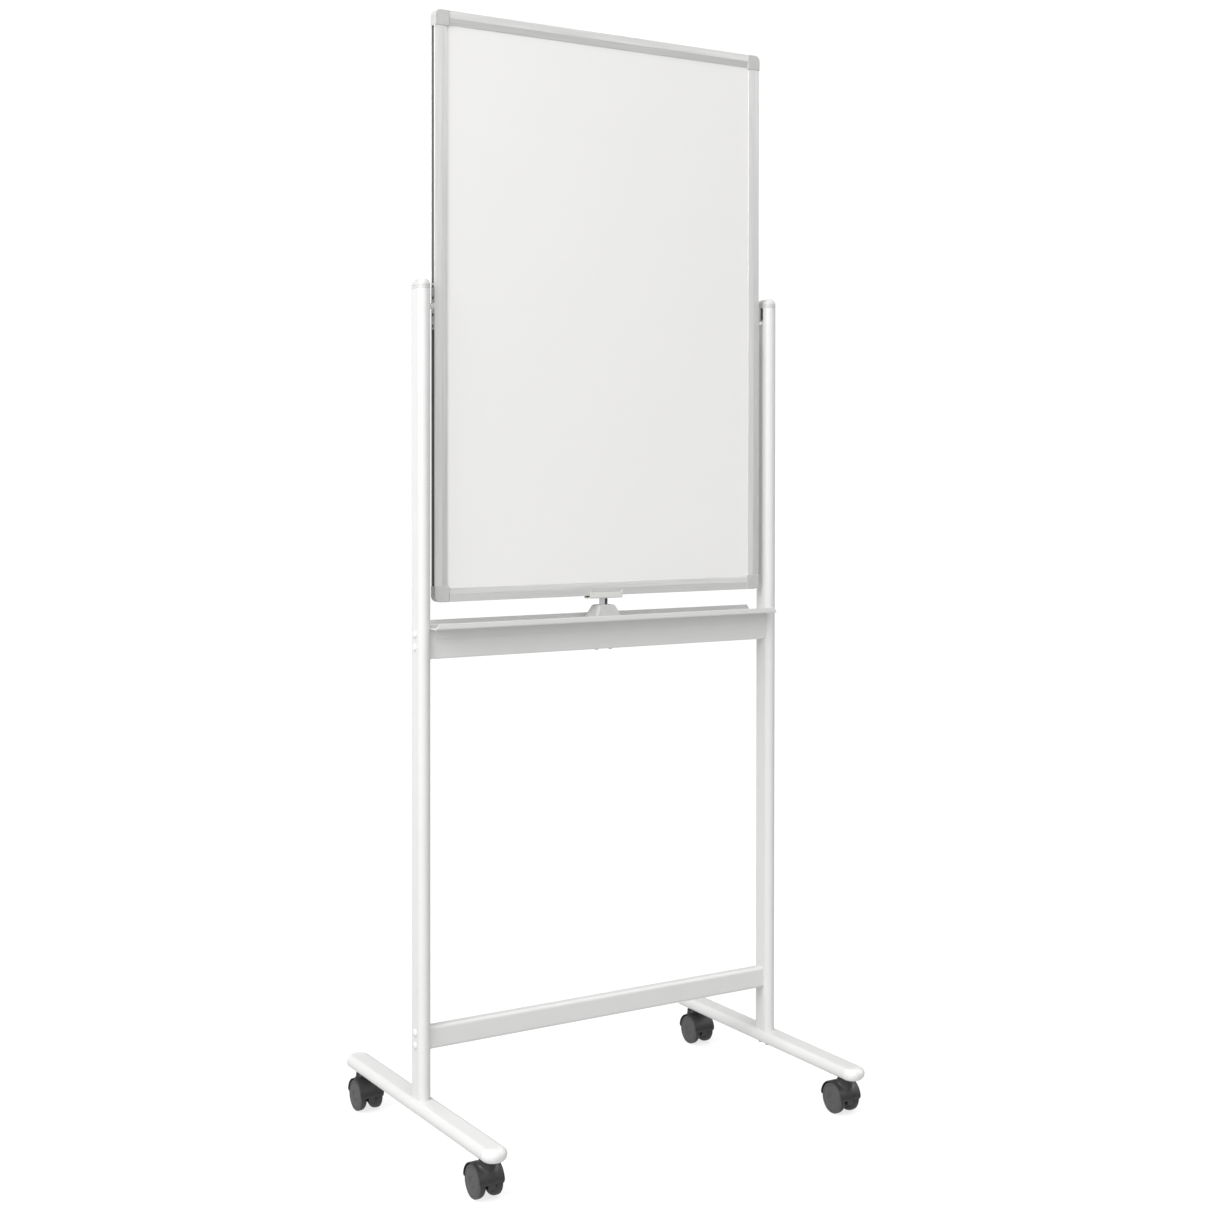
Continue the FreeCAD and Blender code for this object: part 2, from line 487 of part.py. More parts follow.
def board_lock():
    # boss: a rounded, tapered block on the tray floor, hollow for the spring
    def outline(size, z):
        block = rounded_box((-size[0] / 2, -size[1] / 2, z), (size[0] / 2, size[1] / 2, z + 1), 3.0, Z_AXIS)
        return [f for f in block.Faces if abs(f.CenterOfMass.z - z) < 1e-6][0].OuterWire
    boss = Part.makeLoft([outline(BOSS_FOOT, TRAY_FLOOR), outline(BOSS_TOP, BOSS_TOP_Z)], True, True)
    ceiling = BOSS_TOP_Z - BOSS_CEILING
    cavity_r = 8.8
    boss = boss.cut(z_rod(cavity_r, 0, 0, TRAY_FLOOR - 1, ceiling))
    boss = boss.cut(z_rod(STEM_R + STEM_RUN, 0, 0, ceiling, BOSS_TOP_Z + 1))
    for screw in boss_screws(0.05):
        boss = boss.cut(screw)
    parts["lock_boss"] = boss

    # catch: a channel that straddles the bottom rail of the board
    half_len, half_out = CATCH_LEN / 2, CATCH_IN / 2 + CATCH_WALL
    catch = rounded_box((-half_len, -half_out, CATCH_FLOOR),
                        (half_len, half_out, CATCH_TOP + 5), 2.0, X_AXIS)
    catch = catch.cut(box((-half_len - 1, -half_out - 1, CATCH_TOP),
                          (half_len + 1, half_out + 1, CATCH_TOP + 6)))
    catch = catch.cut(box((-half_len - 1, -CATCH_IN / 2, CATCH_FLOOR + 2),
                          (half_len + 1, CATCH_IN / 2, CATCH_TOP + 1)))
    parts["lock_catch"] = catch.cut(z_rod(4.05, 0, 0, CATCH_FLOOR - 1, CATCH_FLOOR + 3))

    # stem: chromed plunger riveted to the catch, with a flange under the boss's ceiling
    flange_top = ceiling - 0.3
    flange_under = flange_top - 2.0
    parts["lock_stem"] = (
        z_rod(5.0, 0, 0, CATCH_FLOOR + 2, CATCH_FLOOR + 2.8)
        .fuse(z_rod(4.0, 0, 0, CATCH_FLOOR, CATCH_FLOOR + 2))
        .fuse(z_rod(STEM_R, 0, 0, flange_top, CATCH_FLOOR))
        .fuse(z_rod(8.4, 0, 0, flange_under, flange_top))
        .fuse(z_rod(TAIL_R, 0, 0, TRAY_FLOOR - 9, flange_under))
        .removeSplitter())

    # return spring round the tail of the stem, its helix drawn as a chain of short arcs
    wire_r, coil_r, turns, arcs_per_turn = 0.5, 5.2, 4, 6
    start = TRAY_FLOOR + wire_r + 0.1
    rise = flange_under - 0.1 - wire_r - start

    def on_helix(turn):
        angle = 2 * pi * turn
        return V(coil_r * cos(angle), coil_r * sin(angle), start + rise * turn / turns)
    steps = [i / arcs_per_turn for i in range(turns * arcs_per_turn)]
    half_arc = 0.5 / arcs_per_turn
    arcs = [Part.Arc(on_helix(t), on_helix(t + half_arc), on_helix(t + 2 * half_arc)).toShape()
            for t in steps]
    profile = Part.Wire(Part.makeCircle(wire_r, on_helix(0), Y_AXIS))
    parts["lock_spring"] = Part.Wire(arcs).makePipeShell([profile], True, False)


# ---- casters ------------------------------------------------------------------------
def caster_wheel(side):
    """Wheel on one side of the web, revolved about the axle, bore blind at the outside."""
    bore = AXLE_R + 0.06
    profile = [(WHEEL_IN, bore), (WHEEL_IN, 7), (WHEEL_IN + 0.8, 8), (WHEEL_IN + 0.8, 20),
               (WHEEL_IN, 21), (WHEEL_IN, WHEEL_R - 1.2), (WHEEL_IN + 1.2, WHEEL_R),
               (WHEEL_OUT - 2.2, WHEEL_R), (WHEEL_OUT - 1.0, WHEEL_R - 0.6),
               (WHEEL_OUT - 0.4, WHEEL_R - 2.0), (WHEEL_OUT - 0.2, 20.5),
               (WHEEL_OUT - 0.9, 19.5), (WHEEL_OUT - 0.5, 8), (WHEEL_OUT, 6.5),
               (WHEEL_OUT, 0), (WHEEL_OUT - 1.1, 0), (WHEEL_OUT - 1.1, bore)]
    return revolve([(side * x, 0, r) for x, r in profile], X_AXIS)


def caster_hood(trail):
    """Hood about the axle: fender over both wheels, a web between them, a swivel boss."""
    def drum(radius, half_width):
        return x_rod(radius, -half_width, half_width, 0, 0)
    upper = box((-50, -50, 0), (50, 50, 50))
    fender = drum(HOOD_OUT_R, HOOD_HALF_W).cut(drum(HOOD_IN_R, HOOD_HALF_W)).common(upper)
    web = drum(HOOD_IN_R + 0.5, CASTER_WEB).common(box((-50, -50, -CASTER_WEB_DROP), (50, 50, 50)))
    boss_y = -trail
    top = HOOD_TOP - WHEEL_R
    neck_low, neck_high = 20.0, top - 3
    boss = z_rod(HOOD_BOSS_R, 0, boss_y, 5, top)
    boss = fillet_at(boss, 1.5, lambda c: abs(c.z - top) < 0.01)
    boss = boss.fuse(Part.makeCone(HOOD_NECK_R, HOOD_BOSS_R, neck_high - neck_low, V(0, boss_y, neck_low)))
    boss = boss.cut(drum(HOOD_IN_R + 0.5, 30))
    hood = fender.fuse(web).fuse(boss).removeSplitter()
    hood = hood.cut(z_rod(STEM_PIN_R + 0.05, 0, boss_y, top - 20.5, top + 1))
    return hood.cut(x_rod(AXLE_R + 0.03, -30, 30, 0, 0))


def casters():
    for end, dy in FRONT_BACK:
        # the front pair trails to the back and the back pair to the front
        trail = -dy * CASTER_TRAIL
        for side, s in LEFT_RIGHT:
            name = "%s_%s_" % (end, side)
            axle_at = V(s * UPRIGHT_X, dy * CASTER_Y + trail, WHEEL_R)
            pieces = {"caster_hood": caster_hood(trail),
                      "caster_axle": x_rod(AXLE_R, -WHEEL_OUT + 1.4, WHEEL_OUT - 1.4, 0, 0),
                      "outer_wheel": caster_wheel(s), "inner_wheel": caster_wheel(-s)}
            for piece, shape in pieces.items():
                shape.translate(axle_at)
                parts[name + piece] = shape


# ---- build --------------------------------------------------------------------------
for make in (panel, frame_rails, corners, pivots, uprights, feet, crossbars, pen_tray, board_lock, casters):
    make()

os.makedirs("parts", exist_ok=True)
for node, shape in parts.items():
    shape.exportStep("parts/%s.step" % node)
    print("%-28s solids %d  valid %s  volume %.0f"
          % (node, len(shape.Solids), shape.isValid(), shape.Volume))
print(len(parts), "nodes")
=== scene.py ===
import json
from math import atan2, cos, hypot, pi, radians, sin, sqrt

import bmesh
import bpy
from mathutils import Matrix, Vector


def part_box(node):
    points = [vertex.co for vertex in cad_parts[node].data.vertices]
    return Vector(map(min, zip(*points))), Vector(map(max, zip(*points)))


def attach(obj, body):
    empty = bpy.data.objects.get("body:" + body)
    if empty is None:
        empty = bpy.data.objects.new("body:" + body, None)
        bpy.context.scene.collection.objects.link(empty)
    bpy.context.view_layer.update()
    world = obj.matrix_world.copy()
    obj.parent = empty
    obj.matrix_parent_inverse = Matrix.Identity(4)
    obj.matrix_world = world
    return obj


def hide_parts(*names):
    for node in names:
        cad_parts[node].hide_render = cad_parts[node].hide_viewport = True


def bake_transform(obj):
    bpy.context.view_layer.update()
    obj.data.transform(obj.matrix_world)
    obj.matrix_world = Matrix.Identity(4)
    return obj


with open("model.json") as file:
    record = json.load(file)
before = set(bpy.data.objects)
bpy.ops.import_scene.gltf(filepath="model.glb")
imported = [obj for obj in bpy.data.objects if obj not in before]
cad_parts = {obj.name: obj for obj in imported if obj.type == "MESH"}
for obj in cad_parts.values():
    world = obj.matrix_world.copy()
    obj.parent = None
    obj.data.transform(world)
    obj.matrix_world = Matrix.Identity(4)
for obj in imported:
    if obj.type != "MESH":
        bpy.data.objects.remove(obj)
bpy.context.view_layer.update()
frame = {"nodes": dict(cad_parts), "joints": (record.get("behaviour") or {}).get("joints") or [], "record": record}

MM = 0.001
TUBE_WALL = 1.5 * MM
LEFT_RIGHT = (("left", -1), ("right", 1))
FRONT_BACK = (("front", -1), ("back", 1))
SLOT_OF = {part["node"]: part["material_slot"] for part in frame["record"]["subparts"]}
JOINT_AT = {joint["name"]: joint["pos_m"] for joint in frame["joints"] if "pos_m" in joint}


# ---- camera, light and floor --------------------------------------------------------
CAMERA_AT = (-1.5151, -2.5894, 1.0589)
CAMERA_AZIMUTH, CAMERA_TILT, CAMERA_ROLL = radians(32.79), radians(-0.711), radians(0.08)
CAMERA_LENS = 54.41
CAMERA_SHIFT = (-0.0620, -0.0988)
ABOVE, BELOW = 0.28, 0.78        # light from the studio over and under the horizon
HORIZON_BLUR = 0.15              # height of the blend between the two
BACKDROP = 1.05                  # how bright the camera sees the studio
CARD_TOWARD = (0.84, -0.54, 0.0)
CARD_FLATNESS = 4.0              # how much wider than high the dark card is
CARD_EDGE = (0.55, 0.75)         # cosines from its centre where it begins and is darkest
CARD_DARKEST = 0.05


def make_camera():
    look = Vector((sin(CAMERA_AZIMUTH) * cos(CAMERA_TILT), cos(CAMERA_AZIMUTH) * cos(CAMERA_TILT),
                   sin(CAMERA_TILT)))
    level = Vector((cos(CAMERA_AZIMUTH), -sin(CAMERA_AZIMUTH), 0))
    rise = level.cross(look)
    right = cos(CAMERA_ROLL) * level + sin(CAMERA_ROLL) * rise
    up = cos(CAMERA_ROLL) * rise - sin(CAMERA_ROLL) * level
    data = bpy.data.cameras.new("camera")
    data.sensor_width = 36
    data.lens = CAMERA_LENS
    data.shift_x, data.shift_y = CAMERA_SHIFT
    data.clip_end = 500
    camera = bpy.data.objects.new("camera", data)
    turned = Matrix((right, up, -look)).transposed().to_4x4()
    camera.matrix_world = Matrix.Translation(CAMERA_AT) @ turned
    bpy.context.scene.collection.objects.link(camera)
    bpy.context.scene.camera = camera


def softbox(name, at, aim, size, power):
    """A square softbox near enough for its light to fall off across the part."""
    data = bpy.data.lights.new(name, "AREA")
    data.size = size
    data.energy = power
    light = bpy.data.objects.new(name, data)
    light.location = at
    light.rotation_euler = (Vector(at) - Vector(aim)).to_track_quat("Z", "Y").to_euler()
    bpy.context.scene.collection.objects.link(light)


def soft_sun(name, toward, spread, radiance):
    """A distant softbox; radiance is what a white surface facing it gives back."""
    data = bpy.data.lights.new(name, "SUN")
    data.angle = radians(spread)
    data.energy = pi * radiance
    light = bpy.data.objects.new(name, data)
    light.rotation_euler = Vector(toward).to_track_quat("Z", "Y").to_euler()
    bpy.context.scene.collection.objects.link(light)
    return light


def map_range(node, before, after):
    """Sets a Map Range node to turn the range before into the range after."""
    for key, number in zip(("From Min", "From Max", "To Min", "To Max"), (*before, *after)):
        node.inputs[key].default_value = number


def make_light():
    """A white studio: the backdrop is seen brighter than it lights."""
    world = bpy.data.worlds.new("studio")
    world.use_nodes = True
    bpy.context.scene.world = world
    tree = world.node_tree
    tree.nodes.clear()
    out = tree.nodes.new("ShaderNodeOutputWorld")
    mix = tree.nodes.new("ShaderNodeMixShader")
    path = tree.nodes.new("ShaderNodeLightPath")
    lit = tree.nodes.new("ShaderNodeBackground")
    seen = tree.nodes.new("ShaderNodeBackground")
    side = tree.nodes.new("ShaderNodeSeparateXYZ")
    fade = tree.nodes.new("ShaderNodeMapRange")
    map_range(fade, (-HORIZON_BLUR, HORIZON_BLUR), (BELOW, ABOVE))
    toward = tree.nodes.new("ShaderNodeTexCoord").outputs["Generated"]
    tree.links.new(toward, side.inputs[0])
    tree.links.new(side.outputs["Z"], fade.inputs["Value"])
    # a low dark card stands off to one side, for the polished metal to show
    squash, level, facing = [tree.nodes.new("ShaderNodeVectorMath") for _ in range(3)]
    squash.operation, level.operation, facing.operation = "MULTIPLY", "NORMALIZE", "DOT_PRODUCT"
    squash.inputs[1].default_value = (1.0, 1.0, CARD_FLATNESS)
    facing.inputs[1].default_value = CARD_TOWARD
    tree.links.new(toward, squash.inputs[0])
    tree.links.new(squash.outputs["Vector"], level.inputs[0])
    tree.links.new(level.outputs["Vector"], facing.inputs[0])
    card = tree.nodes.new("ShaderNodeMapRange")
    map_range(card, CARD_EDGE, (1.0, CARD_DARKEST))
    tree.links.new(facing.outputs["Value"], card.inputs["Value"])
    both = tree.nodes.new("ShaderNodeMath")
    both.operation = "MULTIPLY"
    tree.links.new(fade.outputs["Result"], both.inputs[0])
    tree.links.new(card.outputs["Result"], both.inputs[1])
    tree.links.new(both.outputs["Value"], lit.inputs["Strength"])
    seen.inputs["Strength"].default_value = BACKDROP
    for node in (lit, seen):
        node.inputs["Color"].default_value = (1.0, 1.0, 1.0, 1)
    tree.links.new(path.outputs["Is Camera Ray"], mix.inputs["Fac"])
    tree.links.new(lit.outputs[0], mix.inputs[1])
    tree.links.new(seen.outputs[0], mix.inputs[2])
    tree.links.new(mix.outputs[0], out.inputs["Surface"])
    softbox("key_softbox", (-3.1, -0.8, 2.7), (0, 0, 1.1), 2.4, 104)
    soft_sun("top_softbox", (0, 0, 1), 80, 0.48)
    soft_sun("fill_softbox", (-0.2, -0.9, 0.55), 50, 0.28)
    # this one only shows as a sheen on the metal's edges
    sheen = soft_sun("sheen_softbox", (0.85, -0.26, 0.45), 50, 0.45)
    sheen.visible_diffuse = False
    bpy.context.scene.view_settings.view_transform = "Standard"


# ---- materials ----------------------------------------------------------------------
class Material:
    """A Principled shader with procedural colour, roughness and bump in object space."""

    def __init__(self, name, color, roughness, metallic=0.0, specular=0.5, coat=0.0, coat_roughness=0.1):
        self.data = bpy.data.materials.new(name)
        self.data.use_nodes = True
        self.data.diffuse_color = (*color, 1)
        self.tree = self.data.node_tree
        self.shader = self.tree.nodes["Principled BSDF"]
        self.color = color
        self.roughness = roughness
        sockets = self.shader.inputs
        sockets["Base Color"].default_value = (*color, 1)
        sockets["Roughness"].default_value = roughness
        sockets["Metallic"].default_value = metallic
        sockets["Specular IOR Level"].default_value = specular
        sockets["Coat Weight"].default_value = coat
        sockets["Coat Roughness"].default_value = coat_roughness
        self.coords = self.tree.nodes.new("ShaderNodeTexCoord").outputs["Object"]
        self.normal = None

    def noise(self, scale, detail=2.0):
        """Noise in object space; scale is features per metre, one number or one for each axis."""
        stretch = self.tree.nodes.new("ShaderNodeMapping")
        stretch.inputs["Scale"].default_value = (scale,) * 3 if isinstance(scale, (int, float)) else scale
        texture = self.tree.nodes.new("ShaderNodeTexNoise")
        texture.inputs["Scale"].default_value = 1.0
        texture.inputs["Detail"].default_value = detail
        self.tree.links.new(self.coords, stretch.inputs["Vector"])
        self.tree.links.new(stretch.outputs["Vector"], texture.inputs["Vector"])
        return texture.outputs["Fac"]

    def cells(self, scale, feature):
        texture = self.tree.nodes.new("ShaderNodeTexVoronoi")
        texture.feature = feature
        texture.inputs["Scale"].default_value = scale
        self.tree.links.new(self.coords, texture.inputs["Vector"])
        return texture.outputs["Distance"]

    def spread(self, value, low, high):
        """Maps the middle of a noise value to low..high."""
        ramp = self.tree.nodes.new("ShaderNodeMapRange")
        map_range(ramp, (0.3, 0.7), (low, high))
        self.tree.links.new(value, ramp.inputs["Value"])
        return ramp.outputs["Result"]

    def mottle(self, value, amount):
        """Varies the base colour by a fraction either way."""
        mix = self.tree.nodes.new("ShaderNodeMix")
        mix.data_type = "RGBA"
        sockets = [s for s in mix.inputs if s.type == "RGBA"]
        sockets[0].default_value = (*(c * (1 - amount) for c in self.color), 1)
        sockets[1].default_value = (*(min(1.0, c * (1 + amount)) for c in self.color), 1)
        self.tree.links.new(self.spread(value, 0, 1), mix.inputs["Factor"])
        result = [s for s in mix.outputs if s.type == "RGBA"][0]
        self.tree.links.new(result, self.shader.inputs["Base Color"])

    def polish(self, value, amount):
        """Varies the roughness by an amount either way."""
        ranged = self.spread(value, max(0.02, self.roughness - amount), self.roughness + amount)
        self.tree.links.new(ranged, self.shader.inputs["Roughness"])

    def bump(self, value, depth):
        """Raises the surface by up to depth metres."""
        made = self.tree.nodes.new("ShaderNodeBump")
        made.inputs["Strength"].default_value = 1.0
        made.inputs["Distance"].default_value = depth
        self.tree.links.new(value, made.inputs["Height"])
        if self.normal:
            self.tree.links.new(self.normal, made.inputs["Normal"])
        self.normal = made.outputs["Normal"]
        self.tree.links.new(self.normal, self.shader.inputs["Normal"])


def make_materials():
    made = {}

    # dry-erase enamel: faint orange peel, and wiped streaks that only show in the gloss
    m = made["enamelled_steel"] = Material("dry_erase_enamel", (0.905, 0.90, 0.89), 0.30, specular=0.4,
                                           coat=0.2, coat_roughness=0.18)
    m.mottle(m.noise((3.0, 3.0, 9.0), 3), 0.003)
    m.polish(m.noise((5.0, 5.0, 16.0), 3), 0.02)
    m.bump(m.noise(320.0), 0.000012)

    # satin anodised aluminium, its grain drawn along the rail
    along, across = 9.0, 900.0
    for name, grain in (("frame_aluminium", (along, across, across)),
                        ("aluminium_upright", (across, across, along))):
        m = made[name] = Material(name, (0.74, 0.74, 0.73), 0.38, metallic=0.4)
        m.mottle(m.noise(grain, 3), 0.06)
        m.polish(m.noise(grain, 3), 0.07)
        m.bump(m.noise(grain), 0.000008)

    # moulded plastics: a fine grain over a little flow mottle; the groove entry is painted shade and the tread
    # entry partly so
    for name, color, rough, grain in (("grey_plastic", (0.56, 0.56, 0.55), 0.46, 1400.0),
                                      ("white_plastic", (0.78, 0.78, 0.77), 0.40, 1300.0),
                                      ("boss_plastic", (0.50, 0.50, 0.49), 0.45, 1300.0),
                                      ("cap_plastic", (0.63, 0.63, 0.62), 0.42, 1300.0),
                                      ("nylon", (0.74, 0.73, 0.69), 0.45, 1100.0),
                                      ("black_plastic", (0.030, 0.030, 0.030), 0.42, 1500.0),
                                      # painted shade: the dark groove floor stands in for the shadow deep in the
                                      # board's edge channel
                                      ("groove_painted_shade", (0.19, 0.19, 0.185), 0.60, 900.0),
                                      # partly the tread's own darker tone, partly painted shade for the shadow
                                      # between the wheels
                                      ("tread_tone_and_painted_shade", (0.030, 0.030, 0.030), 0.55, 1500.0),
                                      ("wheel_plastic", (0.074, 0.074, 0.073), 0.50, 1500.0)):
        m = made[name] = Material(name, color, rough)
        m.mottle(m.noise(60.0, 3), 0.06)
        m.polish(m.noise(180.0, 3), 0.06)
        m.bump(m.noise(grain), 0.00002)

    # powder coat: orange peel over a slow waviness
    for name, color in (("white_powder_coat", (0.73, 0.73, 0.722)), ("catch_paint", (0.74, 0.735, 0.71))):
        m = made[name] = Material(name, color, 0.38, specular=0.45, coat=0.12, coat_roughness=0.3)
        m.mottle(m.noise(25.0, 3), 0.012)
        m.polish(m.noise(300.0, 3), 0.05)
        m.bump(m.noise(650.0), 0.00002)
        m.bump(m.noise(90.0, 1), 0.00003)

    # metals
    for name, color, rough, metallic in (("pin_steel", (0.85, 0.85, 0.84), 0.22, 0.6),
                                         ("zinc_steel", (0.34, 0.34, 0.345), 0.40, 0.5),
                                         ("plate_steel", (0.62, 0.62, 0.61), 0.45, 0.25),
                                         ("spring_steel", (0.32, 0.32, 0.33), 0.30, 1.0)):
        m = made[name] = Material(name, color, rough, metallic=metallic)
        m.mottle(m.cells(260.0, "F1"), 0.12)
        m.polish(m.noise(700.0, 3), 0.08)
        m.bump(m.noise(1500.0), 0.00001)
    m = made["chrome_stem"] = Material("polished_chrome", (0.72, 0.72, 0.73), 0.09, metallic=1.0)
    m.mottle(m.noise(40.0), 0.04)
    m.polish(m.noise((2500.0, 2500.0, 200.0), 3), 0.04)
    m.bump(m.noise((2500.0, 2500.0, 200.0)), 0.000003)
    m = made["black_screw"] = Material("black_oxide_screw", (0.03, 0.03, 0.032), 0.36, metallic=0.8)
    m.mottle(m.noise(500.0, 3), 0.25)
    m.polish(m.noise(900.0, 3), 0.1)
    m.bump(m.noise(1800.0), 0.00001)

    # paper honeycomb inside the board
    m = made["honeycomb_core"] = Material("paper_honeycomb", (0.52, 0.40, 0.26), 0.85, specular=0.2)
    m.mottle(m.cells(90.0, "DISTANCE_TO_EDGE"), 0.35)
    m.bump(m.cells(90.0, "DISTANCE_TO_EDGE"), 0.002)

    m = made["floor"] = Material("studio_floor", (0.32, 0.32, 0.32), 0.8, specular=0.1)
    m.mottle(m.noise(1.5, 3), 0.004)
    m.bump(m.noise(40.0, 3), 0.0002)
    m.shader.inputs["Emission Color"].default_value = (1, 1, 1, 1)
    m.shader.inputs["Emission Strength"].default_value = 0.75
    return {name: material.data for name, material in made.items()}


MATERIALS = make_materials()


# ---- mesh helpers -------------------------------------------------------------------
def solid(name, shape):
    """An object of a shape's welded mesh, its normals pointing out."""
    mesh = bpy.data.meshes.new(name)
    mesh.from_pydata(shape.verts, [], shape.faces)
    clean = bmesh.new()
    clean.from_mesh(mesh)
    bmesh.ops.remove_doubles(clean, verts=clean.verts, dist=2e-6)
    bmesh.ops.dissolve_degenerate(clean, edges=clean.edges, dist=1e-6)
    bmesh.ops.recalc_face_normals(clean, faces=clean.faces)
    clean.to_mesh(mesh)
    clean.free()
    made = bpy.data.objects.new(name, mesh)
    bpy.context.scene.collection.objects.link(made)
    return made


def combine(made, shape, operation):
    """Adds a closed shape to an object's mesh, or takes it away."""
    tool = solid("tool", shape)
    modifier = made.modifiers.new("combine", "BOOLEAN")
    modifier.operation = operation
    modifier.solver = "EXACT"
    modifier.object = tool
    bpy.context.view_layer.update()
    result = bpy.data.meshes.new_from_object(made.evaluated_get(bpy.context.evaluated_depsgraph_get()))
    made.modifiers.clear()
    made.data = result
    bpy.data.objects.remove(tool)


class Shape:
    """Vertices and faces gathered from lofts and lathes into one mesh."""

    def __init__(self):
        self.verts = []
        self.faces = []

    def loft(self, rings, closed=False, caps=(True, True)):
        """Skins equal rings of points; closed joins the last ring to the first."""
        base = len(self.verts)
        count = len(rings[0])
        for ring in rings:
            self.verts.extend(tuple(p) for p in ring)
        for i in range(len(rings) if closed else len(rings) - 1):
            a, b = base + i * count, base + (i + 1) % len(rings) * count
            self.faces.extend((a + j, a + (j + 1) % count, b + (j + 1) % count, b + j)
                              for j in range(count))
        last = base + (len(rings) - 1) * count
        if caps[0] and not closed:
            self.faces.append(tuple(range(base + count - 1, base - 1, -1)))
        if caps[1] and not closed:
            self.faces.append(tuple(range(last, last + count)))
        return self

    def lathe(self, profile, origin, axis, segments=48):
        """Turns (along, radius) points about an axis; a radius of 0 closes the end."""
        axis = Vector(axis).normalized()
        side = axis.orthogonal().normalized()
        other = axis.cross(side)
        rings = [[Vector(origin) + axis * along + (side * cos(t) + other * sin(t)) * radius
                  for t in circle_turns(segments)] for along, radius in profile]
        return self.loft(rings, caps=(False, False))

    def extrude(self, outline, start, end, place):
        """Runs a 2-D outline from start to end; place turns (along, u, v) into a point."""
        return self.loft([[place(t, u, v) for u, v in outline] for t in (start, end)])

    def block(self, low, high, radius, edge, axis=2, steps=4):
        """A box between two corners: rounded sides along an axis, softened ends."""
        a, b = [i for i in range(3) if i != axis]
        mid_a, mid_b = (low[a] + high[a]) / 2, (low[b] + high[b]) / 2
        rings = []
        for level, inset in soft_ends(low[axis], high[axis], edge, steps):
            outline = oval(high[a] - low[a] - 2 * inset, high[b] - low[b] - 2 * inset, radius - inset)
            ring = []
            for u, v in outline:
                point = [0.0, 0.0, 0.0]
                point[a], point[b], point[axis] = mid_a + u, mid_b + v, level
                ring.append(point)
            rings.append(ring)
        return self.loft(rings)

    def piece(self, name, body, material, nodes, sharp=32, cut=None, add=None):
        """Makes the object with the given material and hides the CAD nodes it stands for; with no body it is
        attached to nothing.
        """
        made = solid(name, self)
        if add:
            combine(made, add, "UNION")
        if cut:
            combine(made, cut, "DIFFERENCE")
        made.data.materials.clear()
        made.data.materials.append(MATERIALS[material])
        made.data.shade_smooth()
        made.data.set_sharp_from_angle(angle=radians(sharp))
        even = made.modifiers.new("even_normals", "WEIGHTED_NORMAL")
        even.keep_sharp = True
        if body:
            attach(made, body)
        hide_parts(*nodes)
        return made


def in_mm(pairs):
    """A profile given in millimetres, in metres."""
    return [(along * MM, radius * MM) for along, radius in pairs]


def circle_turns(segments):
    """Equal angles once round a circle."""
    return [2 * pi * k / segments for k in range(segments)]


def quarter_turns(steps):
    """Angles from 0 to a right angle, both ends included."""
    return [pi / 2 * k / steps for k in range(steps + 1)]


def open_tube(section, start, end):
    """A tube open at both ends; section turns (inset, place) into a ring."""
    return Shape().loft([section(0, start), section(0, end), section(TUBE_WALL, end),
                         section(TUBE_WALL, start)], closed=True)


def gather(made):
    """The shape of an object's mesh; the object is deleted."""
    shape = Shape()
    shape.verts = [tuple(v.co) for v in made.data.vertices]
    shape.faces = [tuple(p.vertices) for p in made.data.polygons]
    bpy.data.objects.remove(made)
    return shape


def fillet(points, radii, steps=5):
    """Rounds the corners of a closed 2-D outline, one radius for each corner."""
    out = []
    for i, ((x, y), radius) in enumerate(zip(points, radii)):
        before, after = points[i - 1], points[(i + 1) % len(points)]
        ax, ay, bx, by = before[0] - x, before[1] - y, after[0] - x, after[1] - y
        la, lb = hypot(ax, ay), hypot(bx, by)
        ax, ay, bx, by = ax / la, ay / la, bx / lb, by / lb
        half = 0.5 * atan2(abs(ax * by - ay * bx), ax * bx + ay * by)
        slope = sin(half) / cos(half)
        reach = min(radius / slope, 0.49 * la, 0.49 * lb)
        radius = reach * slope
        across = hypot(ax + bx, ay + by)
        cx = x + (ax + bx) / across * radius / sin(half)
        cy = y + (ay + by) / across * radius / sin(half)
        start = atan2(y + ay * reach - cy, x + ax * reach - cx)
        turn = (atan2(y + by * reach - cy, x + bx * reach - cx) - start + pi) % (2 * pi) - pi
        out += [(cx + radius * cos(start + turn * k / steps), cy + radius * sin(start + turn * k / steps))
                for k in range(steps + 1)]
    return out


def oval(w, h, r, steps=6):
    """Rounded rectangle about the origin; r is one radius, or four from the +u +v corner round."""
    radii = r if isinstance(r, (list, tuple)) else [r] * 4
    out = []
    for (su, sv, start), radius in zip(((1, 1, 0), (-1, 1, 1), (-1, -1, 2), (1, -1, 3)), radii):
        radius = max(0.02 * MM, min(radius, w / 2, h / 2))
        cu, cv = su * (w / 2 - radius), sv * (h / 2 - radius)
        turns = [pi / 2 * (start + k / steps) for k in range(steps + 1)]
        out += [(cu + radius * cos(t), cv + radius * sin(t)) for t in turns]
    return out


def soft_ends(low, high, edge, steps=4):
    """(level, inset) pairs that round off both ends of a block."""
    turns = quarter_turns(steps)
    low_end = [(low + edge * (1 - sin(t)), edge * (1 - cos(t))) for t in reversed(turns)]
    high_end = [(high - edge * (1 - sin(t)), edge * (1 - cos(t))) for t in turns]
    return low_end + high_end


def circle_like(outline, radius):
    """A circle with one point for each point of an outline, at the same bearing."""
    return [(radius * u / hypot(u, v), radius * v / hypot(u, v)) for u, v in outline]


def cross_recess(shape, face, place, inward):
    """The cross-shaped recess of a screw head; place turns (along, u, v) into a point."""
    arm, half = 1.5 * MM, 0.36 * MM
    outline = [(arm, -half), (arm, half), (half, half), (half, arm), (-half, arm), (-half, half),
               (-arm, half), (-arm, -half), (-half, -half), (-half, -arm), (half, -arm), (half, -half)]
    return shape.extrude(outline, face - inward * MM, face + inward * 0.9 * MM, place)


def middle(node):
    low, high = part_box(node)
    return (low + high) / 2


